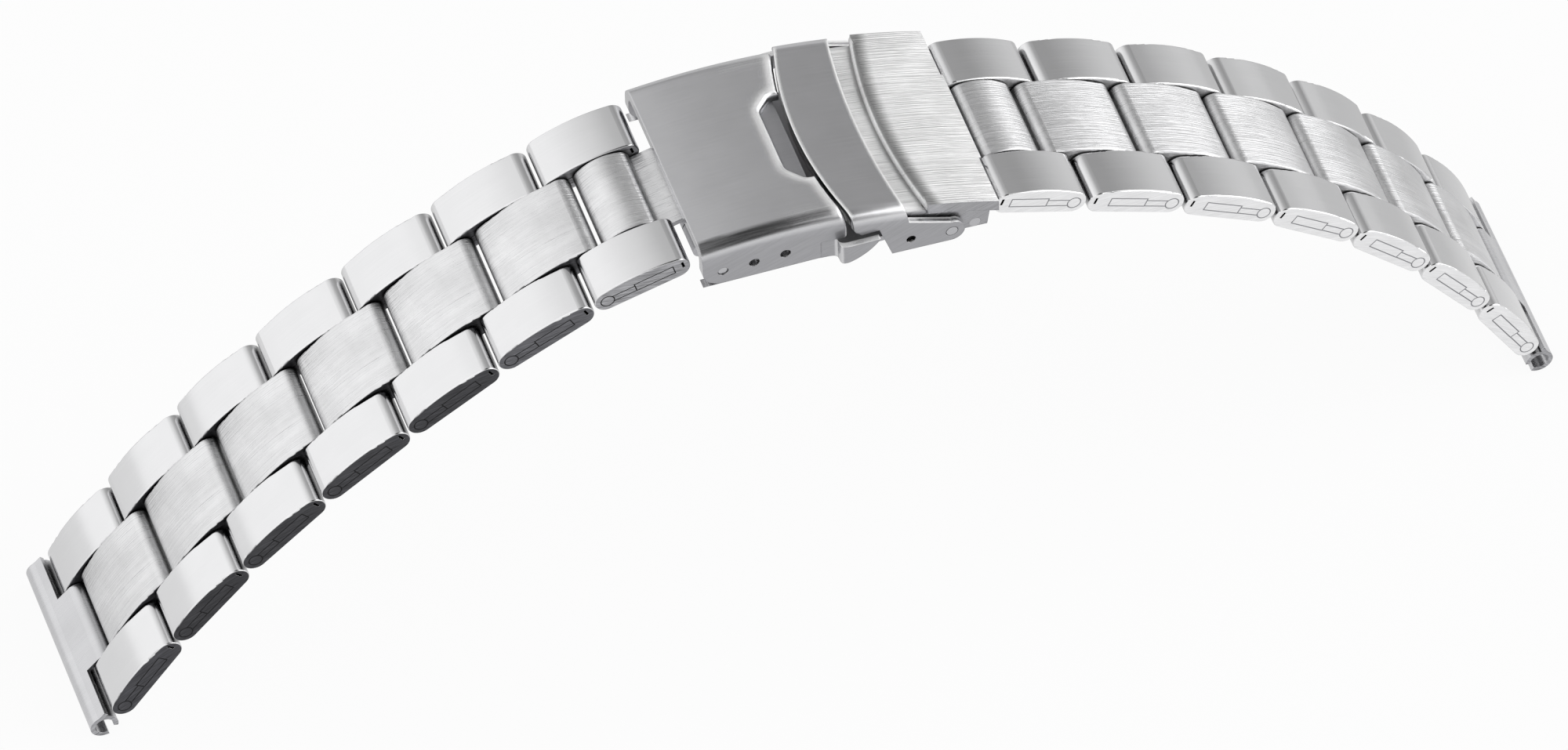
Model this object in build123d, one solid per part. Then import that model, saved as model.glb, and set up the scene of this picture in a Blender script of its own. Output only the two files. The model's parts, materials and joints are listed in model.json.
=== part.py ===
from build123d import *
import os
from math import atan2, cos, degrees, hypot, radians, sin, sqrt

os.makedirs("parts", exist_ok=True)

# Three-row folded-link watch bracelet with a folding clasp and a safety bow.
# It stands as an arch on its two end pieces. X runs along the band, Y across it, Z up.
# All sizes are millimetres, all angles degrees.

# Band: what every link shares
BAND_WIDTH = 17.8
CENTRE_WIDTH = 8.1
ROW_GAP = 0.1
PITCH = 9.65
END_RADIUS = 1.15
CROWN_RISE = 0.38
LINK_GAP = 0.3
FACE_ROUND = 0.14

# Link core: a plate through the three rows with a hinge rod along its outward edge
ROD_RADIUS = 0.6
RUN_FIT = 0.05
CORE_LOW = 0.35
CORE_THICK = 0.9
CORE_SETBACK = 0.9
ARM_HEIGHT = 0.66

# Fold slit at the inner end of each outer shell
SLIT_WIDTH = 0.22
SLIT_HEIGHT = 0.72
SLIT_DEPTH = 0.6
SLIT_RISE = 0.22

# Slopes of the links at rest, from the clasp outwards
ADJUST_SLOPE_ANGLE = (14.6, 26.3, 32.0, 35.5, 41.0, 47.5, 53.0)
BLADE_SLOPE_ANGLE = (22.0, 24.0, 30.5, 38.5, 46.5, 54.5, 61.0)
ADJUST_END_ANGLE = 46.0
BLADE_END_ANGLE = 64.0

# First link of each side
FIRST_TRIM = 0.6
ADJUST_CENTRE_START = 3.1
BLADE_CENTRE_START = 2.5
CONNECTOR_SHEET = 0.5
CONNECTOR_REACH = 6.0
ADJUST_BACK = -0.16
BLADE_BACK = 0.37

# End piece with a rolled tube for the spring bar of the watch
END_BORE_RADIUS = 0.85
END_WALL = 0.4
END_REACH = 2.75
MOUTH_ANGLE = 56.0

# Clasp: the top surface is an arc in the XZ plane and flat across; a drop is measured
# straight down from this arc at the same place along X
TOP_RADIUS = 56.0
CREST_X = -5.7
CREST_Z = 42.2
COVER_HALF = 9.95
COVER_SHEET = 0.9
CORNER_RADIUS = 1.6
SHELL_DEPTH = 15.0

# Cover
COVER_LEFT = -10.5
FOOT_LEFT_DROP = 4.2
FOOT_RIGHT_DROP = 4.6
COVER_FOOT_ROUND = 1.7
SLOT_DROP = 2.6
POCKET_HALF = 4.6
POCKET_X = -0.75
POCKET_ROUND = 0.9
POCKET_CHAMFER = 1.3
EDGE_ROLL = 0.5
HOLE_RADIUS = 0.47
HOLE_DROP = 2.92
HOLE_INSET = 1.8
HOLE_PITCH = 2.77
HOLE_COUNT = 3

# Nail scoop: a strip of the wall pressed outwards, clear of the bow's lugs
SCOOP_SHEET = 0.55
SCOOP_FIT = 0.08
SCOOP_END = 4.9
SCOOP_ROOT = 0.9
SCOOP_RUN = 2.4
SCOOP_DROP = 0.1
SCOOP_FALL = 0.25

# Adjustment spring bar
BAR_RADIUS = 0.7
TIP_RADIUS = 0.42
TIP_DEPTH = 3.0
TIP_RECESS = 0.12
BAR_END_GAP = 0.15

# Blades and their hinges
HINGE_X = 0.3
HINGE_DROP = 3.58
FOLD_INSET = 1.5
FOLD_DROP = 5.2
BARREL_RADIUS = 0.85
HINGE_PIN_RADIUS = 0.4
BLADE_SHEET = 0.6
BLADE_INSET = 4.55
KNUCKLE_HALF = 2.7
KNUCKLE_GAP = 0.1
KNUCKLE_RELIEF = 0.25
BRACKET_SHEET = 0.8
BRACKET_REACH = 3.3
BRACKET_EDGE = 0.5
LUG_SHEET = 0.9
LUG_MARGIN = 0.6
LUG_CLEAR = 0.15
LOWER_BEND_X = 3.0
LOWER_BEND_DROP = 5.42
LOWER_END_INSET = 1.2
LOWER_END_DROP = 4.0
WING_LENGTH = 8.75

# Safety bow, wide enough to swing outside the end part
BOW_OVERHANG = 0.55
BOW_SHEET = 0.65
BOW_GAP = 0.15
BOW_LEFT_SIDE = 2.8
BOW_LEFT_BULGE = 1.6
BOW_SIDE_WIDTH = 4.75
BOW_RIGHT_BULGE = 0.9
RIVET_INSET = 4.45
RIVET_DROP = 2.95
RIVET_RADIUS = 0.5
RIVET_HEAD = 0.9
RIVET_HEAD_DEPTH = 0.5
LUG_END_RADIUS = 1.15
SNAP_REACH = 3.65
SNAP_DROP = 3.5
SNAP_RADIUS = 0.42
SIDE_FIT = 0.05
TOP_FIT = 0.05

# End part
LEDGE_SHEET = 0.8
JOGGLE = 0.2
LEDGE_EDGE = 0.05
PLATE_GAP = 1.95
PLATE_BULGE = 1.3
STEP_ROUND = 0.5
EDGE_MATCH = 0.02
END_RIGHT = 15.9
END_FOOT_INSET = 1.0
TONGUE_REACH = 0.2
TONGUE_HALF = 4.8
WALL_FOOT_DROP = 5.0
WALL_HEEL_DROP = 3.2
WALL_EDGE = 2.8
WALL_RAKE = 1.0
WALL_ROUND = 0.5
FLANGE_DROP = 1.15
END_PIN_INSET = 2.1
END_PIN_DROP = 3.0
END_PIN_RADIUS = 0.5

OVERRUN = 3.0
BAND_HALF = BAND_WIDTH / 2
CENTRE_HALF = CENTRE_WIDTH / 2
ROW_START = CENTRE_HALF + ROW_GAP
OFFSET = 2 * END_RADIUS + LINK_GAP
BLADE_HALF = COVER_HALF - BLADE_INSET
BOW_HALF = COVER_HALF + BOW_OVERHANG
TOP_HALF = BOW_HALF - BOW_SHEET - SIDE_FIT
WALL_HALF = TOP_HALF - JOGGLE
TOP_CENTRE_Z = CREST_Z - TOP_RADIUS
BRACKET_LEFT = HINGE_X - BRACKET_REACH
BRACKET_RIGHT = HINGE_X + BRACKET_EDGE
HOLE_FIRST = COVER_LEFT + HOLE_INSET
FOLD_X = COVER_LEFT + FOLD_INSET
BOW_LEFT_MID = BOW_LEFT_SIDE - BOW_LEFT_BULGE
BOW_RIGHT_SIDE = BOW_LEFT_SIDE + BOW_SIDE_WIDTH
BOW_RIGHT_MID = BOW_RIGHT_SIDE - BOW_RIGHT_BULGE
COVER_SIDE_END = BOW_LEFT_SIDE - BOW_GAP
PLATE_LEFT = BOW_RIGHT_SIDE + PLATE_GAP
FLANGE_START = PLATE_LEFT + SIDE_FIT
PLATE_MID = PLATE_LEFT - PLATE_BULGE
WALL_LEFT_TOP = BOW_LEFT_SIDE + WALL_EDGE
WALL_LEFT_FOOT = WALL_LEFT_TOP + WALL_RAKE
END_FOOT_RIGHT = END_RIGHT - END_FOOT_INSET
TONGUE_RIGHT = END_RIGHT + TONGUE_REACH
END_PIN_X = END_RIGHT - END_PIN_INSET
RIVET_X = END_RIGHT - RIVET_INSET
SNAP_X = RIVET_X - SNAP_REACH
LOWER_END_X = RIVET_X - LOWER_END_INSET
WING_START = LOWER_END_X - WING_LENGTH


def top_height(x, radius):
    """Height at x of an arc about the centre of the clasp's top."""
    return TOP_CENTRE_Z + sqrt(radius * radius - (x - CREST_X) * (x - CREST_X))


def below_top(x, drop):
    return top_height(x, TOP_RADIUS) - drop


HOLE_HEIGHT = below_top(HOLE_FIRST, HOLE_DROP)
COVER_FOOT_LEFT = below_top(COVER_LEFT, FOOT_LEFT_DROP)
COVER_FOOT_RIGHT = below_top(0, FOOT_RIGHT_DROP)
SLOT_TOP = below_top(0, SLOT_DROP)
HINGE_Z = below_top(HINGE_X, HINGE_DROP)
FOLD_Z = below_top(FOLD_X, FOLD_DROP)
LOWER_BEND_Z = below_top(LOWER_BEND_X, LOWER_BEND_DROP)
LOWER_END_Z = below_top(LOWER_END_X, LOWER_END_DROP)
RIVET_Z = below_top(RIVET_X, RIVET_DROP)
SNAP_Z = below_top(SNAP_X, SNAP_DROP)
WALL_FOOT_LEFT = below_top(WALL_LEFT_FOOT, WALL_FOOT_DROP)
WALL_FOOT_RIGHT = below_top(END_FOOT_RIGHT, WALL_HEEL_DROP)
END_PIN_Z = below_top(END_PIN_X, END_PIN_DROP)


def slab(outline, low, high):
    """Solid of an XZ outline between two places across the band."""
    across = extrude(Plane.XZ * outline, amount=(high - low) / 2, both=True)
    return Pos(0, (low + high) / 2, 0) * across


def pair(outline, low, high):
    """The same slab on both sides of the middle."""
    return slab(outline, low, high) + slab(outline, -high, -low)


def disc(x, z, radius):
    return Pos(x, z) * Circle(radius)


def block(left, low, right, high):
    return Pos((left + right) / 2, (low + high) / 2) * Rectangle(right - left, high - low)


def strip(points, thickness):
    """Sheet of even thickness along a line of points, round at the bends."""
    outline = Sketch()
    for (xa, za), (xb, zb) in zip(points, points[1:]):
        run = Rectangle(hypot(xb - xa, zb - za), thickness)
        turn = degrees(atan2(zb - za, xb - xa))
        outline += Pos((xa + xb) / 2, (za + zb) / 2) * Rot(0, 0, turn) * run
    for x, z in points[1:-1]:
        outline += disc(x, z, thickness / 2)
    return outline


def outline_of(points):
    return make_face(Polyline(*points, close=True))


def link_outline(start, finish):
    """Flat below, crowned above, round about the points start and finish on the axis line."""
    half = (finish - start) / 2
    middle = (start + finish) / 2
    drop = (half * half - CROWN_RISE * CROWN_RISE) / (2 * CROWN_RISE)
    crown = END_RADIUS + CROWN_RISE + drop
    reach = hypot(half, drop)
    touch_x = half * crown / reach
    touch_z = drop * crown / reach - drop
    slope = atan2(drop, half)
    mid_x = END_RADIUS * cos((slope - radians(90)) / 2)
    mid_z = END_RADIUS * sin((slope - radians(90)) / 2)
    right = ThreePointArc((finish, -END_RADIUS), (finish + mid_x, mid_z), (middle + touch_x, touch_z))
    top = ThreePointArc((middle + touch_x, touch_z), (middle, END_RADIUS + CROWN_RISE),
                        (middle - touch_x, touch_z))
    left = ThreePointArc((middle - touch_x, touch_z), (start - mid_x, mid_z), (start, -END_RADIUS))
    bottom = Line((start, -END_RADIUS), (finish, -END_RADIUS))
    return make_face(Wire([right, top, left, bottom]))


def core_plate():
    return block(OFFSET + CORE_SETBACK, -CORE_LOW, PITCH - OFFSET, CORE_THICK - CORE_LOW)


def core_side():
    """What the core fills inside an outer shell: plate, arm and rod."""
    arm = block(PITCH - OFFSET, -ARM_HEIGHT / 2, PITCH, ARM_HEIGHT / 2)
    return core_plate() + arm + disc(PITCH, 0, ROD_RADIUS)


def soften(solid, side, size):
    """Small rounds on the edges of the faces that look along Y at a given place."""
    edges = solid.faces().filter_by(Axis.Y).sort_by(Axis.Y)[side].outer_wire().edges()
    return fillet(edges, size)


def outer_shell(trim):
    start = OFFSET + trim
    slit_x = start - END_RADIUS + SLIT_DEPTH
    slit = Pos(slit_x, SLIT_RISE) * Rectangle(SLIT_WIDTH, SLIT_HEIGHT)
    body = slab(link_outline(start, PITCH), ROW_START, BAND_HALF)
    body = soften(soften(body, 0, FACE_ROUND), -1, FACE_ROUND)
    return body - slab(core_side() + slit, ROW_START - OVERRUN, BAND_HALF + OVERRUN)


def outers(trim):
    """Both outer shells of one link."""
    shell = outer_shell(trim)
    return Compound(children=[shell, Rot(0, 0, 180) * mirror(shell, about=Plane.YZ)])


def centre_shell():
    body = slab(link_outline(0, PITCH - OFFSET), -CENTRE_HALF, CENTRE_HALF)
    body = soften(soften(body, 0, FACE_ROUND), -1, FACE_ROUND)
    hollow = core_plate() + disc(0, 0, ROD_RADIUS + RUN_FIT)
    return body - slab(hollow, -BAND_HALF, BAND_HALF)


def first_centre(start, strap):
    """Short centre shell of a first link, slotted for its connector."""
    body = slab(link_outline(start + END_RADIUS, PITCH - OFFSET), -CENTRE_HALF, CENTRE_HALF)
    body = soften(soften(body, 0, FACE_ROUND), -1, FACE_ROUND)
    return body - slab(core_plate() + strap, -BAND_HALF, BAND_HALF)


def core():
    rod = slab(disc(PITCH, 0, ROD_RADIUS), -BAND_HALF, BAND_HALF)
    plate = slab(core_plate(), -BAND_HALF, BAND_HALF)
    return plate + rod + pair(core_side(), ROW_START, BAND_HALF)


def ring_radius(pin):
    return pin + RUN_FIT + CONNECTOR_SHEET


def connector_strap(back):
    return block(back, -CORE_LOW - CONNECTOR_SHEET, CONNECTOR_REACH, -CORE_LOW)


def connector(back, pin):
    """Sheet loop round a pin, its strap clamped under the core plate of the first link."""
    drop = ring_radius(pin) + CORE_LOW
    loop = disc(back, -drop, ring_radius(pin)) + connector_strap(back)
    return slab(loop - disc(back, -drop, pin + RUN_FIT), -CENTRE_HALF, CENTRE_HALF)


def end_piece():
    """Hinge barrel and tongue at the middle, full-width edge rolled to a tube."""
    tube = END_BORE_RADIUS + END_WALL
    tip = 2 * tube
    low = radians(270 - MOUTH_ANGLE / 2)
    high = radians(270 + MOUTH_ANGLE / 2)
    mouth = outline_of([(END_REACH, 0), (END_REACH + tip * cos(low), tip * sin(low)),
                        (END_REACH + tip * cos(high), tip * sin(high))])
    roll = disc(END_REACH, 0, tube) - disc(END_REACH, 0, END_BORE_RADIUS) - mouth
    barrel = disc(0, 0, END_RADIUS) + block(0, END_RADIUS - END_WALL, END_REACH, END_RADIUS)
    barrel -= disc(0, 0, ROD_RADIUS + RUN_FIT)
    barrel -= disc(END_REACH, 0, END_BORE_RADIUS)
    lip = block(END_RADIUS + LINK_GAP, END_RADIUS - END_WALL, END_REACH, END_RADIUS)
    lip -= disc(END_REACH, 0, END_BORE_RADIUS)
    return slab(roll + lip, -BAND_HALF, BAND_HALF) + slab(barrel, -CENTRE_HALF, CENTRE_HALF)


def channel(half, radius, sheet, corner):
    """Curved channel about the top arc's centre: flat top, two walls, round bends."""
    outer = Pos(0, radius - SHELL_DEPTH / 2) * RectangleRounded(2 * half, SHELL_DEPTH, corner)
    inner_corner = max(corner - sheet, sheet / 4)
    inner = RectangleRounded(2 * (half - sheet), SHELL_DEPTH, inner_corner)
    section = outer - Pos(0, radius - sheet - SHELL_DEPTH / 2) * inner
    place = Plane(origin=(CREST_X, 0, TOP_CENTRE_Z), x_dir=(0, 1, 0), z_dir=(1, 0, 0))
    axis = Axis((CREST_X, 0, TOP_CENTRE_Z), (0, 1, 0))
    return revolve(place * section, axis=axis, revolution_arc=60).rotate(axis, -20)


def band_arc(high, low, left, right):
    """XZ outline between two radii about the top arc's centre and two places along X."""
    ring = disc(CREST_X, TOP_CENTRE_Z, high) - disc(CREST_X, TOP_CENTRE_Z, low)
    return ring & block(left, TOP_CENTRE_Z, right, TOP_CENTRE_Z + 2 * TOP_RADIUS)


def upright(outline):
    """Solid of an XY outline, tall enough to cut or keep any piece of the clasp."""
    return extrude(outline, amount=2 * TOP_RADIUS)


def bowed_edge(side, middle, far):
    """XY outline bounded by a curved edge across the clasp and a straight edge beyond."""
    reach = COVER_HALF + OVERRUN
    spread = reach * reach - COVER_HALF * COVER_HALF
    tip = side + (side - middle) * spread / (COVER_HALF * COVER_HALF)
    curve = ThreePointArc((tip, -reach), (middle, 0), (tip, reach))
    rest = Polyline((tip, reach), (far, reach), (far, -reach), (tip, -reach))
    return make_face(Wire([curve, *rest.edges()]))


def foot_corner(x, z, radius, turn):
    """Outline to cut away so that a square corner becomes round."""
    square = Pos(x, z) * Rectangle(2 * radius, 2 * radius)
    return square & (Pos(x, z) * Rot(0, 0, turn) * Pos(radius, radius) * (
        Rectangle(2 * radius, 2 * radius) - Circle(radius)))


def cover_side():
    high = TOP_CENTRE_Z + TOP_RADIUS + OVERRUN
    side = outline_of([(COVER_LEFT, high), (COVER_LEFT, COVER_FOOT_LEFT), (0, COVER_FOOT_RIGHT),
                       (0, SLOT_TOP), (COVER_SIDE_END, SLOT_TOP - SCOOP_FALL),
                       (COVER_SIDE_END, high)])
    return side - foot_corner(COVER_LEFT, COVER_FOOT_LEFT, COVER_FOOT_ROUND, 0)


def scoop():
    """Half-moon lip of one wall, pressed out in an S and rooted in the wall at its left end."""
    wall = COVER_HALF - COVER_SHEET / 2
    out = BOW_HALF + SCOOP_FIT + SCOOP_SHEET / 2
    edges = []
    for side in (-SCOOP_SHEET / 2, SCOOP_SHEET / 2):
        edges.append(Bezier((SCOOP_ROOT / 2, wall + side), (SCOOP_RUN, wall + side),
                            (SCOOP_ROOT / 2, out + side), (SCOOP_RUN, out + side)))
    low, high = edges
    press = make_face(Wire([low, Line(low @ 1, high @ 1), high, Line(high @ 0, low @ 0)]))
    plan = press + strip([(-SCOOP_ROOT, wall), (SCOOP_ROOT / 2, wall)], SCOOP_SHEET)
    plan += strip([(SCOOP_RUN, out), (SCOOP_END, out)], SCOOP_SHEET)
    left = (-SCOOP_ROOT, COVER_FOOT_RIGHT)
    right = (SCOOP_END, SLOT_TOP - SCOOP_FALL)
    moon = ThreePointArc(left, (SCOOP_END / 2, COVER_FOOT_RIGHT - SCOOP_DROP), right)
    edge = Polyline(right, (-SCOOP_ROOT, SLOT_TOP), left)
    return upright(plan) & slab(make_face(Wire([moon, *edge.edges()])), 0, 2 * COVER_HALF)


def hole_places():
    return [HOLE_FIRST + HOLE_PITCH * number for number in range(HOLE_COUNT)]


def pocket():
    """Plan of the finger pocket: straight left edge, slanted and rounded corners, open to the right."""
    near = POCKET_HALF - POCKET_CHAMFER
    corner = POCKET_X + POCKET_CHAMFER
    outline = outline_of([(POCKET_X, near), (corner, POCKET_HALF), (COVER_HALF, POCKET_HALF),
                          (COVER_HALF, -POCKET_HALF), (corner, -POCKET_HALF), (POCKET_X, -near)])
    return fillet(outline.vertices().sort_by(Axis.X)[:4], POCKET_ROUND)


def top_edges(body, left, right):
    """Edges on the clasp's top surface whose middle lies between two places along the clasp."""
    found = []
    for edge in body.edges():
        middle = edge @ 0.5
        away = hypot(middle.X - CREST_X, middle.Z - TOP_CENTRE_Z) - TOP_RADIUS
        if abs(away) < EDGE_MATCH and left < middle.X < right:
            found.append(edge)
    return found


def cover():
    body = channel(COVER_HALF, TOP_RADIUS, COVER_SHEET, CORNER_RADIUS)
    body &= slab(cover_side(), -2 * COVER_HALF, 2 * COVER_HALF)
    body -= upright(bowed_edge(BOW_LEFT_SIDE - BOW_GAP, BOW_LEFT_MID - BOW_GAP, 2 * TOP_RADIUS))
    body -= upright(pocket())
    body = fillet(top_edges(body, POCKET_X - EDGE_MATCH, COVER_HALF), EDGE_ROLL)
    drills = Sketch() + [disc(x, HOLE_HEIGHT, HOLE_RADIUS) for x in hole_places()]
    body -= slab(drills, -2 * COVER_HALF, 2 * COVER_HALF)
    lip = scoop()
    return body + lip + mirror(lip, about=Plane.XZ)


def bracket():
    """Plate under the cover's top with two lugs that hold the cover hinge pin."""
    high = TOP_RADIUS - COVER_SHEET
    arc = band_arc(high, high - BRACKET_SHEET, BRACKET_LEFT, BRACKET_RIGHT)
    reach = BLADE_HALF + KNUCKLE_GAP + LUG_SHEET
    eye = BARREL_RADIUS + KNUCKLE_GAP
    ear = disc(HINGE_X, HINGE_Z, eye)
    ear += block(HINGE_X - eye, HINGE_Z, BRACKET_RIGHT, top_height(BRACKET_RIGHT, high - BRACKET_SHEET / 2))
    ear -= disc(HINGE_X, HINGE_Z, HINGE_PIN_RADIUS)
    return slab(arc, -reach, reach) + pair(ear, BLADE_HALF + KNUCKLE_GAP, reach)


def cover_hinge_pin():
    reach = BLADE_HALF + KNUCKLE_GAP + LUG_SHEET
    return slab(disc(HINGE_X, HINGE_Z, HINGE_PIN_RADIUS), -reach, reach)


def blade_hinge_pin():
    return slab(disc(FOLD_X, FOLD_Z, HINGE_PIN_RADIUS), -BLADE_HALF, BLADE_HALF)


def upper_blade():
    """Sheet from the cover hinge, under it, to the fold hinge, over it."""
    rise = BARREL_RADIUS - BLADE_SHEET / 2
    sheet = strip([(FOLD_X, FOLD_Z + rise), (HINGE_X, HINGE_Z - rise)], BLADE_SHEET)
    clear = disc(HINGE_X, HINGE_Z, HINGE_PIN_RADIUS + RUN_FIT)
    shell = disc(HINGE_X, HINGE_Z, BARREL_RADIUS) + sheet
    body = slab(shell - clear, -BLADE_HALF, BLADE_HALF)
    body += slab(disc(FOLD_X, FOLD_Z, BARREL_RADIUS), -BLADE_HALF, BLADE_HALF)
    body -= slab(disc(FOLD_X, FOLD_Z, HINGE_PIN_RADIUS), -BAND_HALF, BAND_HALF)
    relief = BARREL_RADIUS + KNUCKLE_RELIEF
    gap = KNUCKLE_HALF + KNUCKLE_GAP
    notch = block(FOLD_X - relief, FOLD_Z - relief, FOLD_X + relief, FOLD_Z + relief)
    return body - slab(notch, -gap, gap)


def lower_blade():
    """Sheet from the fold hinge, under it, to wings between the end part's walls."""
    rise = BARREL_RADIUS - BLADE_SHEET / 2
    relief = BARREL_RADIUS + KNUCKLE_RELIEF
    sheet = strip([(FOLD_X, FOLD_Z - rise), (LOWER_BEND_X, LOWER_BEND_Z), (LOWER_END_X, LOWER_END_Z)],
                  BLADE_SHEET)
    wide = sheet - block(FOLD_X - relief, FOLD_Z - 2 * relief, FOLD_X + relief, FOLD_Z + relief)
    wings = sheet & block(WING_START, 0, LOWER_END_X, 2 * TOP_RADIUS)
    barrel = disc(FOLD_X, FOLD_Z, BARREL_RADIUS) + sheet
    barrel -= disc(FOLD_X, FOLD_Z, HINGE_PIN_RADIUS + RUN_FIT)
    wall = WALL_HALF - LEDGE_SHEET
    body = slab(wide, -BLADE_HALF, BLADE_HALF) + slab(barrel, -KNUCKLE_HALF, KNUCKLE_HALF)
    return body + slab(wings, -wall, wall)


def bow_lug():
    """Side outline of a lug: a shelf over the nail scoop, a slanted toe and a tongue to the rivet's eye."""
    high = TOP_CENTRE_Z + TOP_RADIUS
    top = top_height(BOW_LEFT_SIDE, TOP_RADIUS - 2 * BOW_SHEET)
    shelf = SLOT_TOP + LUG_CLEAR
    shoulder = top_height(BOW_RIGHT_SIDE, TOP_RADIUS - BOW_SHEET) - LUG_MARGIN
    eye = RIVET_X + LUG_END_RADIUS
    body = outline_of([(BOW_LEFT_SIDE, high), (BOW_LEFT_SIDE, top), (BOW_LEFT_SIDE + LUG_MARGIN, shelf),
                       (WALL_LEFT_TOP - LUG_MARGIN, shelf), (WALL_LEFT_FOOT - WALL_ROUND, WALL_FOOT_LEFT),
                       (RIVET_X, RIVET_Z - LUG_END_RADIUS), (eye, RIVET_Z - LUG_END_RADIUS),
                       (eye, RIVET_Z + LUG_END_RADIUS), (RIVET_X, RIVET_Z + LUG_END_RADIUS),
                       (BOW_RIGHT_SIDE, shoulder), (BOW_RIGHT_SIDE, high)])
    body -= foot_corner(eye, RIVET_Z - LUG_END_RADIUS, LUG_END_RADIUS, 90)
    body -= foot_corner(eye, RIVET_Z + LUG_END_RADIUS, LUG_END_RADIUS, 180)
    return body - disc(RIVET_X, RIVET_Z, RIVET_RADIUS + RUN_FIT) - disc(SNAP_X, SNAP_Z, SNAP_RADIUS)


def bow():
    shell = channel(BOW_HALF, TOP_RADIUS, BOW_SHEET, CORNER_RADIUS)
    strap = shell & slab(block(0, TOP_CENTRE_Z, 2 * BOW_RIGHT_SIDE, 2 * TOP_RADIUS)
                         - disc(CREST_X, TOP_CENTRE_Z, TOP_RADIUS - CORNER_RADIUS),
                         -2 * BOW_HALF, 2 * BOW_HALF)
    strap &= upright(bowed_edge(BOW_LEFT_SIDE, BOW_LEFT_MID, 2 * TOP_RADIUS))
    strap -= upright(bowed_edge(BOW_RIGHT_SIDE, BOW_RIGHT_MID, 2 * TOP_RADIUS))
    lugs = shell & pair(bow_lug(), BOW_HALF - BOW_SHEET, 2 * BOW_HALF)
    return strap + lugs


def end_wall():
    """Side outline of the end part below its top."""
    high = TOP_CENTRE_Z + TOP_RADIUS
    right = END_RIGHT
    wall = outline_of([(WALL_LEFT_TOP, high), (WALL_LEFT_TOP, SLOT_TOP), (WALL_LEFT_FOOT, WALL_FOOT_LEFT),
                       (END_FOOT_RIGHT, WALL_FOOT_RIGHT), (right, high)])
    return wall


def end_plate():
    """Raised top of the end part: its left edge follows the bow's edge and is rounded down."""
    low = TOP_RADIUS - BOW_SHEET - TOP_FIT
    plate = slab(band_arc(TOP_RADIUS, low, BOW_LEFT_SIDE, END_RIGHT), -TOP_HALF, TOP_HALF)
    plate -= upright(bowed_edge(PLATE_LEFT, PLATE_MID, -2 * TOP_RADIUS))
    plate = fillet(top_edges(plate, PLATE_MID - EDGE_MATCH, PLATE_LEFT), STEP_ROUND)
    flange = band_arc(TOP_RADIUS, TOP_RADIUS - FLANGE_DROP, FLANGE_START, END_RIGHT)
    plate += pair(flange, WALL_HALF - LEDGE_SHEET, TOP_HALF)
    return plate + slab(band_arc(TOP_RADIUS, low, FLANGE_START, TONGUE_RIGHT), -TONGUE_HALF, TONGUE_HALF)


def end_part():
    low = TOP_RADIUS - BOW_SHEET - TOP_FIT
    wall = WALL_HALF
    shell = channel(wall, low, LEDGE_SHEET, LEDGE_SHEET)
    keep = end_wall() + band_arc(low, low - LEDGE_SHEET, 0, WALL_LEFT_TOP)
    body = shell & slab(keep, -wall, wall)
    body -= upright(bowed_edge(BOW_LEFT_SIDE + LEDGE_EDGE, BOW_LEFT_MID + LEDGE_EDGE, -2 * TOP_RADIUS))
    inner = band_arc(low, low - 2 * LEDGE_SHEET, FLANGE_START, 2 * END_RIGHT)
    body -= slab(inner, LEDGE_SHEET - wall, wall - LEDGE_SHEET)
    body += end_plate()
    drills = disc(RIVET_X, RIVET_Z, RIVET_RADIUS) + disc(END_PIN_X, END_PIN_Z, END_PIN_RADIUS)
    return body - slab(drills, -2 * COVER_HALF, 2 * COVER_HALF)


def rivets():
    inner = WALL_HALF - LEDGE_SHEET
    shank = slab(disc(RIVET_X, RIVET_Z, RIVET_RADIUS), inner, BOW_HALF)
    rivet = shank + slab(disc(RIVET_X, RIVET_Z, RIVET_HEAD), inner - RIVET_HEAD_DEPTH, inner)
    return Compound(children=[rivet, mirror(rivet, about=Plane.XZ)])


def end_pin():
    return slab(disc(END_PIN_X, END_PIN_Z, END_PIN_RADIUS), -WALL_HALF, WALL_HALF)


def bar_tube():
    reach = COVER_HALF - COVER_SHEET - BAR_END_GAP
    tube = slab(disc(HOLE_FIRST, HOLE_HEIGHT, BAR_RADIUS), -reach, reach)
    return tube - pair(disc(HOLE_FIRST, HOLE_HEIGHT, TIP_RADIUS), reach - TIP_DEPTH, reach + OVERRUN)


def bar_tips():
    reach = COVER_HALF - COVER_SHEET - BAR_END_GAP
    tip = slab(disc(HOLE_FIRST, HOLE_HEIGHT, TIP_RADIUS), reach - TIP_DEPTH, COVER_HALF - TIP_RECESS)
    return Compound(children=[tip, mirror(tip, about=Plane.XZ)])


def chain(hinge, back, drop, slopes, way):
    """Frames (x, z, slope) of the links of one side; way is -1 to the left, 1 to the right."""
    along = (way * cos(radians(slopes[0])), -sin(radians(slopes[0])))
    outward = (way * sin(radians(slopes[0])), cos(radians(slopes[0])))
    x = hinge[0] - back * along[0] + drop * outward[0]
    z = hinge[1] - back * along[1] + drop * outward[1]
    frames = []
    for slope in slopes:
        frames.append((x, z, slope))
        x += way * PITCH * cos(radians(slope))
        z -= PITCH * sin(radians(slope))
    return frames, (x, z)


def placed(frame, way):
    """Location that puts a piece drawn in link coordinates on its side of the arch."""
    x, z, slope = frame
    turn = Rot(0, slope, 0) if way > 0 else Rot(0, -slope, 0) * Rot(0, 0, 180)
    return Pos(x, 0, z) * turn


ADJUST_DROP = ring_radius(BAR_RADIUS) + CORE_LOW
BLADE_DROP = ring_radius(END_PIN_RADIUS) + CORE_LOW
ADJUST_FRAMES, ADJUST_TIP = chain((HOLE_FIRST, HOLE_HEIGHT), ADJUST_BACK, ADJUST_DROP, ADJUST_SLOPE_ANGLE, -1)
BLADE_FRAMES, BLADE_TIP = chain((END_PIN_X, END_PIN_Z), BLADE_BACK, BLADE_DROP, BLADE_SLOPE_ANGLE, 1)

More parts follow.
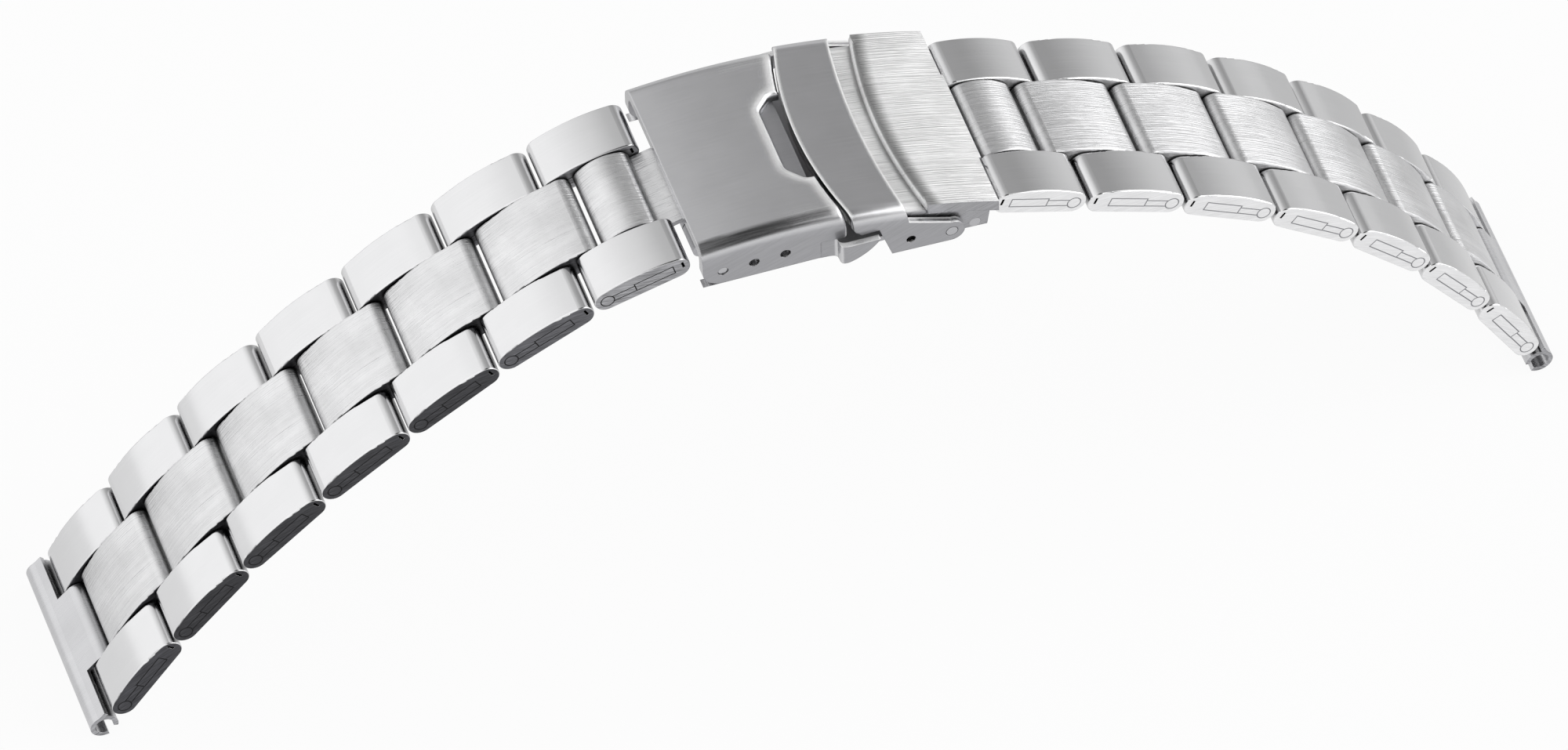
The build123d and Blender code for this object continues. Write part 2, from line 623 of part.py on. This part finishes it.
# Both rolled tubes stand on the ground, so the arch is turned until they are level
LEFT_X = ADJUST_TIP[0] - END_REACH * cos(radians(ADJUST_END_ANGLE))
LEFT_Z = ADJUST_TIP[1] - END_REACH * sin(radians(ADJUST_END_ANGLE))
RIGHT_X = BLADE_TIP[0] + END_REACH * cos(radians(BLADE_END_ANGLE))
RIGHT_Z = BLADE_TIP[1] - END_REACH * sin(radians(BLADE_END_ANGLE))
LEVEL = degrees(atan2(LEFT_Z - RIGHT_Z, RIGHT_X - LEFT_X))


def levelled(x, z):
    c, s = cos(radians(LEVEL)), sin(radians(LEVEL))
    return x * c - z * s, x * s + z * c


GROUND = levelled(LEFT_X, LEFT_Z)[1] - END_BORE_RADIUS - END_WALL
MIDDLE = (levelled(LEFT_X, LEFT_Z)[0] + levelled(RIGHT_X, RIGHT_Z)[0]) / 2
STAND = Pos(-MIDDLE, 0, -GROUND) * Rot(0, -LEVEL, 0)


def stand_point(x, z):
    """Where a point of the clasp's own drawing lies in the finished arch."""
    level_x, level_z = levelled(x, z)
    return round(level_x - MIDDLE, 4), round(level_z - GROUND, 4)


def save(name, shape, place=Location()):
    moved = STAND * place * shape
    solids = moved.solids()
    whole = solids[0] if len(solids) == 1 else Compound(children=list(solids))
    whole.label = name
    export_step(whole, "parts/" + name + ".step")


def write_side(side, frames, way, tip, end_slope):
    shell, short, centre, bone = outers(0), outers(FIRST_TRIM), centre_shell(), core()
    for number, frame in enumerate(frames, start=1):
        place = placed(frame, way)
        link = side + "_link_" + str(number)
        save(link + "_outers", short if number == 1 else shell, place)
        save(link + "_core", bone, place)
        if number > 1:
            save(link + "_centre", centre, place)
    save(side + "_end_piece", end_piece(), placed((tip[0], tip[1], end_slope), way))
    first = placed(frames[0], way)
    start = ADJUST_CENTRE_START if way < 0 else BLADE_CENTRE_START
    back = ADJUST_BACK if way < 0 else BLADE_BACK
    pin = BAR_RADIUS if way < 0 else END_PIN_RADIUS
    save(side + "_link_1_centre", first_centre(start, connector_strap(back)), first)
    save(side + "_connector", connector(back, pin), first)


def write_clasp():
    save("clasp_cover", cover())
    save("hinge_bracket", bracket())
    save("cover_hinge_pin", cover_hinge_pin())
    save("upper_blade", upper_blade())
    save("blade_hinge_pin", blade_hinge_pin())
    save("lower_blade", lower_blade())
    save("end_part", end_part())
    save("bow_rivets", rivets())
    save("safety_bow", bow())
    save("end_link_pin", end_pin())
    save("adjust_bar_tube", bar_tube())
    save("adjust_bar_tips", bar_tips())


write_side("adjust", ADJUST_FRAMES, -1, ADJUST_TIP, ADJUST_END_ANGLE)
write_side("blade", BLADE_FRAMES, 1, BLADE_TIP, BLADE_END_ANGLE)
write_clasp()

print("level", round(LEVEL, 4))
print("hinges adjust", stand_point(HOLE_FIRST, HOLE_HEIGHT),
      [stand_point(x, z) for x, z, _ in ADJUST_FRAMES[1:]], stand_point(*ADJUST_TIP))
print("hinges blade", stand_point(END_PIN_X, END_PIN_Z),
      [stand_point(x, z) for x, z, _ in BLADE_FRAMES[1:]], stand_point(*BLADE_TIP))
print("cover hinge", stand_point(HINGE_X, HINGE_Z), "fold hinge", stand_point(FOLD_X, FOLD_Z),
      "bow rivets", stand_point(RIVET_X, RIVET_Z))
print("end bars", stand_point(LEFT_X, LEFT_Z), stand_point(RIGHT_X, RIGHT_Z))
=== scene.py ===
import json
import math

import bpy
import numpy as np
from mathutils import Matrix, Vector

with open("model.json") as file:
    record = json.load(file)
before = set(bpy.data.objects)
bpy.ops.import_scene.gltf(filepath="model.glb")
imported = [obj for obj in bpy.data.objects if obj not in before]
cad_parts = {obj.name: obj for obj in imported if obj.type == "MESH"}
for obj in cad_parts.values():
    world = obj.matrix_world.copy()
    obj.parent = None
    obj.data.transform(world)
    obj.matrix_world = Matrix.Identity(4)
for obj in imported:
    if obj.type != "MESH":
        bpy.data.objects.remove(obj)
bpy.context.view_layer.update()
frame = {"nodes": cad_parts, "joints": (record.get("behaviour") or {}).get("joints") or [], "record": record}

MM = 0.001

# A link: its length from hinge to hinge, and the radius and reach of its inner end, in mm; the slope of
# each side's first link in degrees; the number of the last link
PITCH = 9.65
END_RADIUS = 1.15
INNER_END = 2 * END_RADIUS + 0.3
FIRST_SLOPE = {"adjust": 17.77, "blade": 18.83}
LAST_LINK = 7

# Core of a link as its side face shows it, in mm: plate and arm from the link's inner hinge (left, low,
# right, high), and the rod; the distances from its outline where the hairline starts to fade and ends
PLATE_SIDE = (INNER_END + 0.9, -0.35, PITCH - INNER_END, 0.55)
ARM_SIDE = (PITCH - INNER_END, -0.33, PITCH, 0.33)
ROD_RADIUS = 0.6
HAIRLINE = (0.03, 0.075)

# Ground side faces: size of a stroke in mm along the link, across the band and upwards, its turn in
# degrees, the noise values of its darkest and its lightest tone, and the roughness
STROKE = (2.2, 2.2, 0.16, 24)
STROKE_NOISE = (0.35, 0.65)
GROUND_ROUGHNESS = 0.46

# Belt marks and slow patches of tone: the noise values of their darkest and their lightest tone, and the
# size of a patch in mm
MARK_NOISE = (0.3, 0.7)
PATCH = 3.5

# Painted shade in crevices: how far it reaches in mm, the shares of open sky where it is darkest and where
# it ends, and the tone it gives the colour there
CREVICE = 1.6
CREVICE_SKY = (0.15, 0.55)
CREVICE_SHADE_TONE = 0.06

# How far a normal points across the band on a side face, or up on a top: where a face starts to count,
# and where it counts in full
SIDE_NORMAL = (0.75, 0.92)
TOP_NORMAL = (0.75, 0.9)

# Samples of a worn edge and of the painted crevice shade, and of the wider round that finds the matt band
# with its painted highlight
SAMPLES = 4
RIM_SAMPLES = 8

# Matt band along a rolled edge, painted white as a highlight: roughness, length over which it fades in
# along the clasp in mm, and how alike the rounded and the plain normal are where it is full and where it
# ends
RIM_ROUGHNESS = 0.62
RIM_FADE = 1.5
RIM_ALIKE = (0.97, 0.998)

# The end part's step: direction along the clasp and its shift, where the step lies in the middle of the
# band, and how far it bows out at the cover's half width, in mm
CLASP_AXIS = (0.99847, 0, 0.0553)
CLASP_SHIFT = 0.398
STEP_MID = 8.2
STEP_BULGE = 1.3
COVER_HALF = 9.95

# Painted shade in the trough behind the step: how dark it is, and the distances in mm over which it darkens
# and clears again
TROUGH_SHADE_DEPTH = 0.62
TROUGH_IN = (-0.50, 0.40)
TROUGH_OUT = (0.60, 1.70)


def linear(code):
    """sRGB hex colour as linear RGBA."""
    parts = np.array([int(code[i:i + 2], 16) for i in (1, 3, 5)]) / 255
    flat = np.where(parts <= 0.04045, parts / 12.92, ((parts + 0.055) / 1.055) ** 2.4)
    return (*flat.tolist(), 1.0)


def add(tree, kind, settings=None, **links):
    """A shader node with its settings; a link's name is a socket, or i and its number."""
    node = tree.nodes.new(kind)
    for name, value in (settings or {}).items():
        setattr(node, name, value)
    for name, value in links.items():
        socket = node.inputs[int(name[1:]) if name[1:].isdigit() else name.replace("_", " ")]
        if isinstance(value, bpy.types.NodeSocket):
            tree.links.new(value, socket)
        else:
            socket.default_value = value
    return node


def numbered(values):
    """Values for the sockets of a node, in their order."""
    return {"i" + str(place): value for place, value in enumerate(values)}


def math_node(tree, operation, *values):
    """The result of an operation on numbers."""
    return add(tree, "ShaderNodeMath", {"operation": operation}, **numbered(values)).outputs[0]


def vector_node(tree, operation, *values):
    """A node with an operation on vectors."""
    return add(tree, "ShaderNodeVectorMath", {"operation": operation}, **numbered(values))


def spread(tree, value, low, high, to_low=0.0, to_high=1.0):
    """A value carried from one range to another, held at the ends."""
    return add(tree, "ShaderNodeMapRange", Value=value, From_Min=low, From_Max=high, To_Min=to_low,
               To_Max=to_high).outputs["Result"]


def soft(tree, value, low, high, to_low=0.0, to_high=1.0):
    """Like spread, with a smooth start and end."""
    return add(tree, "ShaderNodeMapRange", {"interpolation_type": "SMOOTHSTEP"}, Value=value, From_Min=low,
               From_Max=high, To_Min=to_low, To_Max=to_high).outputs["Result"]


def blend(tree, share, first, second, kind="MIX"):
    """Two colours mixed, the second one by a share."""
    return add(tree, "ShaderNodeMix", {"data_type": "RGBA", "blend_type": kind}, i0=share, i6=first,
               i7=second).outputs[2]


def mix_value(tree, share, first, second):
    """Two numbers mixed, the second one by a share."""
    return add(tree, "ShaderNodeMix", {"data_type": "FLOAT"}, i0=share, i2=first, i3=second).outputs[0]


def grey(tree, value):
    """A number as a colour."""
    return add(tree, "ShaderNodeCombineColor", Red=value, Green=value, Blue=value).outputs[0]


def fresh(name):
    """A new material and its empty node tree."""
    made = bpy.data.materials.new(name)
    made.use_nodes = True
    made.node_tree.nodes.clear()
    return made, made.node_tree


class Place:
    """Where a link lies: hinge point in metres, slope down outwards in degrees, way -1 left or 1 right."""

    def __init__(self, x=0.0, z=0.0, slope=0.0, way=1):
        self.x, self.z, self.slope, self.way = x, z, slope, way

    def local(self, tree):
        """Millimetres along the link outwards, across the band, and out of its top."""
        turn = -math.radians(self.slope)
        across = self.way * self.x / MM
        high = self.z / MM
        shift = (-across * math.cos(turn) - high * math.sin(turn), 0,
                 across * math.sin(turn) - high * math.cos(turn))
        spot = add(tree, "ShaderNodeTexCoord").outputs["Object"]
        return add(tree, "ShaderNodeMapping", Vector=spot, Location=shift, Rotation=(0, turn, 0),
                   Scale=(self.way / MM, 1 / MM, 1 / MM)).outputs["Vector"]


def grain(tree, spot, along, across, high, turn=0.0):
    """Noise drawn out into strokes: their sizes in mm along X, Y and Z, turned about Y in degrees."""
    turned = add(tree, "ShaderNodeMapping", Vector=spot, Rotation=(0, math.radians(turn), 0)).outputs[0]
    sized = vector_node(tree, "MULTIPLY", turned, (1 / along, 1 / across, 1 / high)).outputs[0]
    return add(tree, "ShaderNodeTexNoise", Vector=sized, Scale=1.0, Detail=3.0,
               Roughness=0.6).outputs["Fac"]


def cloud(tree, spot, size):
    """Slow unevenness of a worked surface, size in mm."""
    sized = add(tree, "ShaderNodeVectorMath", {"operation": "SCALE"}, i0=spot, Scale=1 / size).outputs[0]
    return add(tree, "ShaderNodeTexNoise", Vector=sized, Scale=1.0, Detail=2.0).outputs["Fac"]


def box_distance(tree, spot, left, low, right, high):
    """Distance in mm from a rectangle's edge, seen from the side, below 0 inside it."""
    moved = vector_node(tree, "SUBTRACT", spot, ((left + right) / 2, 0, (low + high) / 2)).outputs[0]
    flat = vector_node(tree, "MULTIPLY", moved, (1, 0, 1)).outputs[0]
    size = vector_node(tree, "ABSOLUTE", flat).outputs[0]
    past = vector_node(tree, "SUBTRACT", size, ((right - left) / 2, 0, (high - low) / 2)).outputs[0]
    outside = vector_node(tree, "LENGTH", vector_node(tree, "MAXIMUM", past, (0, 0, 0)).outputs[0])
    part = add(tree, "ShaderNodeSeparateXYZ", Vector=past)
    inside = math_node(tree, "MINIMUM", math_node(tree, "MAXIMUM", part.outputs[0], part.outputs[2]), 0.0)
    return math_node(tree, "ADD", outside.outputs["Value"], inside)


def seam(tree, spot):
    """1 on the hairline round the core, where the rod is a full circle, and 0 elsewhere."""
    plate = box_distance(tree, spot, *PLATE_SIDE)
    arm = box_distance(tree, spot, *ARM_SIDE)
    flat = vector_node(tree, "MULTIPLY", spot, (1, 0, 1)).outputs[0]
    rod = math_node(tree, "SUBTRACT", vector_node(tree, "DISTANCE", flat, (PITCH, 0, 0)).outputs["Value"],
                    ROD_RADIUS)
    edge = math_node(tree, "MINIMUM", math_node(tree, "MINIMUM", plate, arm), rod)
    pin = math_node(tree, "ABSOLUTE", rod)
    line = math_node(tree, "MINIMUM", math_node(tree, "ABSOLUTE", edge), pin)
    return spread(tree, line, *HAIRLINE, 1.0, 0.0)


def sideways(tree):
    """1 on faces that look across the band, 0 on the rest."""
    way = add(tree, "ShaderNodeTexCoord").outputs["Normal"]
    size = math_node(tree, "ABSOLUTE", add(tree, "ShaderNodeSeparateXYZ", Vector=way).outputs[1])
    return spread(tree, size, *SIDE_NORMAL)


def upward(tree):
    """1 on faces that look up, 0 on the rest."""
    way = add(tree, "ShaderNodeTexCoord").outputs["Normal"]
    return spread(tree, add(tree, "ShaderNodeSeparateXYZ", Vector=way).outputs[2], *TOP_NORMAL)


def trough(tree, spot):
    """Painted shade on the end part's top where its sheet rolls down to the ledge: how light it
    leaves the colour, 1 beyond.
    """
    along = vector_node(tree, "DOT_PRODUCT", spot, CLASP_AXIS).outputs["Value"]
    across = add(tree, "ShaderNodeSeparateXYZ", Vector=spot).outputs[1]
    bow = math_node(tree, "MULTIPLY", math_node(tree, "POWER", math_node(tree, "ABSOLUTE", across), 2.0),
                    STEP_BULGE / COVER_HALF ** 2)
    past = math_node(tree, "SUBTRACT", math_node(tree, "ADD", along, CLASP_SHIFT - STEP_MID), bow)
    darker = soft(tree, past, *TROUGH_IN)
    lighter = soft(tree, past, *TROUGH_OUT, 1.0, 0.0)
    depth = math_node(tree, "MULTIPLY", math_node(tree, "MULTIPLY", darker, lighter), upward(tree))
    return math_node(tree, "SUBTRACT", 1.0, math_node(tree, "MULTIPLY", depth, TROUGH_SHADE_DEPTH))


def near_edge(tree, spot, width, start):
    """1 on the top along an edge, where the painted highlight goes, 0 from a width in mm away and short of
    the place start along X.
    """
    wide = add(tree, "ShaderNodeBevel", {"samples": RIM_SAMPLES}, Radius=width * MM).outputs["Normal"]
    plain = add(tree, "ShaderNodeNewGeometry").outputs["Normal"]
    alike = vector_node(tree, "DOT_PRODUCT", wide, plain).outputs["Value"]
    along = add(tree, "ShaderNodeSeparateXYZ", Vector=spot).outputs[0]
    zone = spread(tree, along, start, start + RIM_FADE)
    return math_node(tree, "MULTIPLY", spread(tree, alike, *RIM_ALIKE, 1.0, 0.0),
                     math_node(tree, "MULTIPLY", zone, upward(tree)))


def steel(name, colour, roughness, width, run, depth, uneven, place=None, side=None, side_cut=0.6,
          side_seam=None, rough_spread=0.05, edge=0.07, rim_highlight=None, step_shade=False):
    """Stainless steel, drawn along the link by a belt.

    width, run and depth are those of a belt mark in mm, uneven how much darker its tone gets,
    rough_spread how far its roughness strays, edge the radius of a worn edge in mm; side is the colour
    of the ground side faces, which stands in for the light and shade on them as painted light and
    painted shade, side_cut the tone of their darkest strokes, side_seam the colour of the hairline round
    the core; the rim highlight is the width of the matt band along the edges, painted white as a
    highlight, and the place along the clasp beyond which it lies, both in mm; the step shade paints shade
    into the trough behind the end part's step. Crevices get painted shade in the colour."""
    made, tree = fresh(name)
    spot = (place or Place()).local(tree)
    marks = grain(tree, spot, run, width, run)
    patch = cloud(tree, spot, PATCH)
    shade = spread(tree, patch, *MARK_NOISE, 1 - uneven, 1.0)
    streak = spread(tree, marks, *MARK_NOISE, 1 - uneven, 1.0)
    tone = grey(tree, math_node(tree, "MULTIPLY", shade, streak))
    base = blend(tree, 1.0, linear(colour), tone, "MULTIPLY")
    rough = spread(tree, marks, *MARK_NOISE, roughness - rough_spread, roughness + rough_spread)
    height = marks
    # Painted light and shade: side faces get their own colour, given per link and per part, that stands in
    # for the light and shade on them; the strokes and roughness are their ground finish
    if side:
        face = sideways(tree)
        strokes = grain(tree, spot, *STROKE)
        cut = spread(tree, strokes, *STROKE_NOISE, side_cut, 2 - side_cut)
        shaded_flank = blend(tree, 1.0, linear(side), grey(tree, cut), "MULTIPLY")
        if side_seam:
            shaded_flank = blend(tree, seam(tree, spot), shaded_flank, linear(side_seam))
        base = blend(tree, face, base, shaded_flank)
        rough = mix_value(tree, face, rough, GROUND_ROUGHNESS)
        height = mix_value(tree, face, marks, strokes)
    # Painted highlight: the matt band along a rolled edge gets a white colour
    if rim_highlight:
        highlight_band = near_edge(tree, spot, *rim_highlight)
        base = blend(tree, highlight_band, base, linear("#FFFFFF"))
        rough = mix_value(tree, highlight_band, rough, RIM_ROUGHNESS)
    # Painted shade: the end part's top darkens in the trough behind its step
    if step_shade:
        base = blend(tree, 1.0, base, grey(tree, trough(tree, spot)), "MULTIPLY")
    # Painted shade: the colour darkens where ambient occlusion finds little open sky, in crevices and
    # between parts
    sky = add(tree, "ShaderNodeAmbientOcclusion", {"samples": SAMPLES},
              Distance=CREVICE * MM).outputs["AO"]
    crevice_shade = spread(tree, sky, *CREVICE_SKY, CREVICE_SHADE_TONE, 1.0)
    base = blend(tree, 1.0, base, grey(tree, crevice_shade), "MULTIPLY")
    worn = add(tree, "ShaderNodeBevel", {"samples": SAMPLES}, Radius=edge * MM).outputs["Normal"]
    bump = add(tree, "ShaderNodeBump", Height=height, Distance=depth * MM, Normal=worn)
    shader = add(tree, "ShaderNodeBsdfPrincipled", Base_Color=base, Metallic=1.0, Roughness=rough,
                 Normal=bump.outputs["Normal"])
    add(tree, "ShaderNodeOutputMaterial", Surface=shader.outputs["BSDF"])
    return made


def wear(node, finish):
    """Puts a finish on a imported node."""
    solid = frame["nodes"][node]
    solid.data.materials.clear()
    solid.data.materials.append(finish)


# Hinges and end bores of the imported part
HINGES = {joint["name"]: Vector(joint["pos_m"]) for joint in frame["joints"]}
BORES = {mount["name"]: Vector(mount["pos_m"]) for mount in frame["record"]["mounts"]}

# Each half of the band: its way along X, the tone of its darkest side strokes, the colour of its
# hairlines, and the colour of its links' side faces from the clasp outwards, which is painted light and
# shade: the adjust side's faces darken outwards in painted shade, the blade side's stay pale as painted
# light
SIDES = {
    "adjust": (-1, 0.62, "#141415",
               ("#A8A8AB", "#6B6B6F", "#49494C", "#4B4B4E", "#48484B", "#434346", "#4E4E52")),
    "blade": (1, 0.93, "#8E8E92", ("#F6F6F7",) * LAST_LINK),
}


def slope_of(near, far, way):
    """Slope in degrees, down outwards, of the line from one hinge to the next."""
    return math.degrees(math.atan2(near.z - far.z, way * (far.x - near.x)))


def dress_side(side):
    """Finishes of one half of the band, each drawn along its own link."""
    way, cut, line, flank_shades = SIDES[side]
    for number in range(1, LAST_LINK + 1):
        near = HINGES[side + "_joint_" + str(number)]
        far = HINGES[side + ("_joint_" + str(number + 1) if number < LAST_LINK else "_end_joint")]
        slope = FIRST_SLOPE[side] if number == 1 else slope_of(near, far, way)
        reach, angle = PITCH * MM, math.radians(slope)
        place = Place(far.x - way * reach * math.cos(angle), far.z + reach * math.sin(angle), slope, way)
        link = side + "_link_" + str(number)
        # Each link's side faces get their painted light and shade colour from the table
        polished = steel(link + "_polished_steel", "#E8E8E9", 0.17, 0.10, 14, 0.001, 0.03, place,
                         flank_shades[number - 1], cut, line, 0.02)
        brushed = steel(link + "_brushed_steel", "#EEEEEF", 0.32, 0.11, 6, 0.06, 0.15, place,
                        flank_shades[number - 1], cut)
        wear(link + "_outers", polished)
        wear(link + "_core", polished)
        wear(link + "_centre", brushed)
        if number == 1:
            wear(side + "_connector", brushed)
    hinge, bore = HINGES[side + "_end_joint"], BORES[side + "_end_bore"]
    end = Place(hinge.x, hinge.z, slope_of(hinge, bore, way), way)
    # The end piece's side faces get a darker colour than its top, painted shade
    wear(side + "_end_piece", steel(side + "_end_satin_steel", "#D8D8DA", 0.30, 0.09, 5, 0.005, 0.08, end,
                                    "#A8A8AB"))


def dress_clasp():
    """Finishes of the clasp, drawn along it."""
    # The side walls of cover, bow and end part get a darker colour than their tops, painted shade
    shaded_wall, edge, rim_start = "#AEAEB1", 0.18, -6.0
    wear("clasp_cover", steel("satin_cover_steel", "#DEDEE0", 0.22, 0.08, 4, 0.003, 0.05, None, shaded_wall, 0.95,
                              edge=edge, rim_highlight=(1.7, rim_start)))
    wear("safety_bow", steel("satin_bow_steel", "#DCDCDE", 0.20, 0.08, 5, 0.002, 0.04, None, shaded_wall, 0.95,
                             edge=edge, rim_highlight=(0.5, rim_start)))
    wear("end_part", steel("coarse_brushed_steel", "#FEFEFE", 0.47, 0.11, 12, 0.11, 0.15, None, shaded_wall, 0.90,
                           edge=edge, step_shade=True))
    inner = steel("plain_inner_steel", "#BDBDC0", 0.40, 0.12, 4, 0.003, 0.08)
    for node in ("hinge_bracket", "upper_blade", "lower_blade"):
        wear(node, inner)
    pin = steel("turned_pin_steel", "#C8C8CB", 0.30, 0.12, 1.5, 0.002, 0.06)
    for node in ("bow_rivets", "end_link_pin", "adjust_bar_tube", "adjust_bar_tips", "cover_hinge_pin",
                 "blade_hinge_pin"):
        wear(node, pin)


# Floor: half its size and its gap below the part, in metres; how bright the steel mirrors it, and how
# bright at the back right; where that changes along X and Y, in metres; how much of it is plain white
FLOOR_HALF = 3.0
FLOOR_GAP = 0.0002
FLOOR_TONE, BACK_RIGHT_TONE = 0.86, 0.60
BACK_RIGHT_X = (-0.10, -0.02)
BACK_RIGHT_Y = (-0.01, 0.03)
FLOOR_WHITE = 0.93


def pale_floor():
    """A floor that the camera sees as white paper; the steel mirrors it darker at the back right."""
    paint, tree = fresh("white_paper")
    path = add(tree, "ShaderNodeLightPath")
    direct = path.outputs["Is Camera Ray"]
    seen = math_node(tree, "MAXIMUM", direct, path.outputs["Is Glossy Ray"])
    spot = add(tree, "ShaderNodeSeparateXYZ", Vector=add(tree, "ShaderNodeTexCoord").outputs["Object"])
    right = spread(tree, spot.outputs[0], *BACK_RIGHT_X, FLOOR_TONE, BACK_RIGHT_TONE)
    mirrored = spread(tree, spot.outputs[1], *BACK_RIGHT_Y, FLOOR_TONE, right)
    matt = add(tree, "ShaderNodeBsdfDiffuse", Color=linear("#E9E9E9")).outputs["BSDF"]
    white = add(tree, "ShaderNodeEmission", Color=(1, 1, 1, 1),
                Strength=math_node(tree, "MAXIMUM", direct, mirrored)).outputs["Emission"]
    share = math_node(tree, "MULTIPLY", seen, FLOOR_WHITE)
    mixed = add(tree, "ShaderNodeMixShader", Fac=share, i1=matt, i2=white).outputs[0]
    add(tree, "ShaderNodeOutputMaterial", Surface=mixed)
    sheet = bpy.data.meshes.new("floor")
    sheet.from_pydata([(-FLOOR_HALF, -FLOOR_HALF, 0), (FLOOR_HALF, -FLOOR_HALF, 0),
                       (FLOOR_HALF, FLOOR_HALF, 0), (-FLOOR_HALF, FLOOR_HALF, 0)], [], [(0, 1, 2, 3)])
    sheet.materials.append(paint)
    floor = bpy.data.objects.new("floor", sheet)
    floor.location.z = -FLOOR_GAP
    bpy.context.scene.collection.objects.link(floor)


def softbox(name, place, aim, width, height, power):
    """A rectangular soft lamp that looks at a point."""
    lamp = bpy.data.lights.new(name, "AREA")
    lamp.shape, lamp.size, lamp.size_y, lamp.energy = "RECTANGLE", width, height, power
    made = bpy.data.objects.new(name, lamp)
    made.location = place
    made.rotation_euler = (Vector(aim) - Vector(place)).to_track_quat("-Z", "Y").to_euler()
    bpy.context.scene.collection.objects.link(made)


# Grey of the studio round the arch, on its far side and overhead: degrees from straight up towards the
# right, and radiance
FAR_ROOM = ((-120, 0.86), (-100, 0.98), (-85, 1.08), (-40, 1.08), (-25, 0.94), (-10, 0.80), (0, 0.64),
            (9, 0.50), (28, 0.40), (42, 0.35), (52, 0.44), (64, 0.58), (78, 0.71), (120, 0.71))
OVERHEAD = ((-120, 0.80), (-85, 1.05), (-60, 1.20), (-25, 1.15), (-8, 0.55), (0, 0.03), (21, 0.02),
            (26, 0.45), (38, 0.50), (46, 2.90), (75, 2.60), (95, 1.50), (140, 0.90))

# Radiance straight in front, the most that shows on the front half, and the most of all
FRONT = 1.0
FRONT_BRIGHTEST = 1.0
BRIGHTEST = 2.9

# How far a direction points back, from -1 straight in front to 1 straight behind, where the front ends,
# where the cap of the front half ends, and where the far side takes over
FRONT_EDGE = (-0.92, -0.78)
CAP_EDGE = (-0.40, -0.15)
FAR_EDGE = (0.25, 0.50)


def on_ramp(level):
    """Radiance as a grey that the world's strength brings back."""
    return (level / BRIGHTEST,) * 3 + (1,)


def card(tree, turn, levels):
    """Grey along the direction round the arch."""
    ramp = add(tree, "ShaderNodeValToRGB", Fac=spread(tree, turn, -math.pi, math.pi))
    stops = ramp.color_ramp.elements
    while len(stops) < len(levels):
        stops.new(0.5)
    for stop, (degrees, level) in zip(stops, levels):
        stop.position = degrees / 360 + 0.5
        stop.color = on_ramp(level)
    return ramp.outputs[0]


def surroundings():
    """A pale room with grey cards high up, which the steel mirrors."""
    world = bpy.data.worlds.new("studio")
    bpy.context.scene.world = world
    world.use_nodes = True
    tree = world.node_tree
    tree.nodes.clear()
    way = add(tree, "ShaderNodeSeparateXYZ", Vector=add(tree, "ShaderNodeTexCoord").outputs["Generated"])
    turn = math_node(tree, "ARCTAN2", way.outputs[0], way.outputs[2])
    above = card(tree, turn, OVERHEAD)
    capped = blend(tree, 1.0, above, on_ramp(FRONT_BRIGHTEST), "DARKEN")
    above = blend(tree, spread(tree, way.outputs[1], *CAP_EDGE), capped, above)
    near = blend(tree, spread(tree, way.outputs[1], *FRONT_EDGE), on_ramp(FRONT), above)
    tone = blend(tree, spread(tree, way.outputs[1], *FAR_EDGE), near, card(tree, turn, FAR_ROOM))
    back = add(tree, "ShaderNodeBackground", Color=tone, Strength=BRIGHTEST)
    white = add(tree, "ShaderNodeBackground", Color=(1, 1, 1, 1), Strength=1.0)
    path = add(tree, "ShaderNodeLightPath")
    both = add(tree, "ShaderNodeMixShader", Fac=path.outputs["Is Camera Ray"], i1=back.outputs[0],
               i2=white.outputs[0])
    add(tree, "ShaderNodeOutputWorld", Surface=both.outputs[0])


# View: directions of the picture's right and upper side, its width and the point in its middle in mm, and
# the lens and the sensor's width in mm
VIEW_RIGHT = (0.94231, -0.33279, 0.03609)
VIEW_UP = (0.23733, 0.74021, 0.6291)
VIEW_WIDTH = 133.53
VIEW_CENTRE = (-3.02, -3.81, 19.14)
LENS = 400
SENSOR = 36


def camera():
    """Long lens from the front left and above, as in the photograph."""
    right = Vector(VIEW_RIGHT).normalized()
    up = Vector(VIEW_UP)
    up = (up - up.dot(right) * right).normalized()
    back = right.cross(up)
    lens = bpy.data.cameras.new("camera")
    lens.sensor_width = SENSOR
    lens.lens = LENS
    spot = Vector(VIEW_CENTRE) * MM + back * (VIEW_WIDTH * MM * LENS / SENSOR)
    eye = bpy.data.objects.new("camera", lens)
    eye.matrix_world = Matrix.Translation(spot) @ Matrix((right, up, back)).transposed().to_4x4()
    bpy.context.scene.collection.objects.link(eye)
    bpy.context.scene.camera = eye


bpy.context.scene.view_settings.view_transform = "Standard"
camera()
surroundings()
pale_floor()
dress_side("adjust")
dress_side("blade")
dress_clasp()
softbox("overhead", (0.55, -0.25, 0.62), (0.0, 0.0, 0.03), 0.45, 0.45, 0.8)
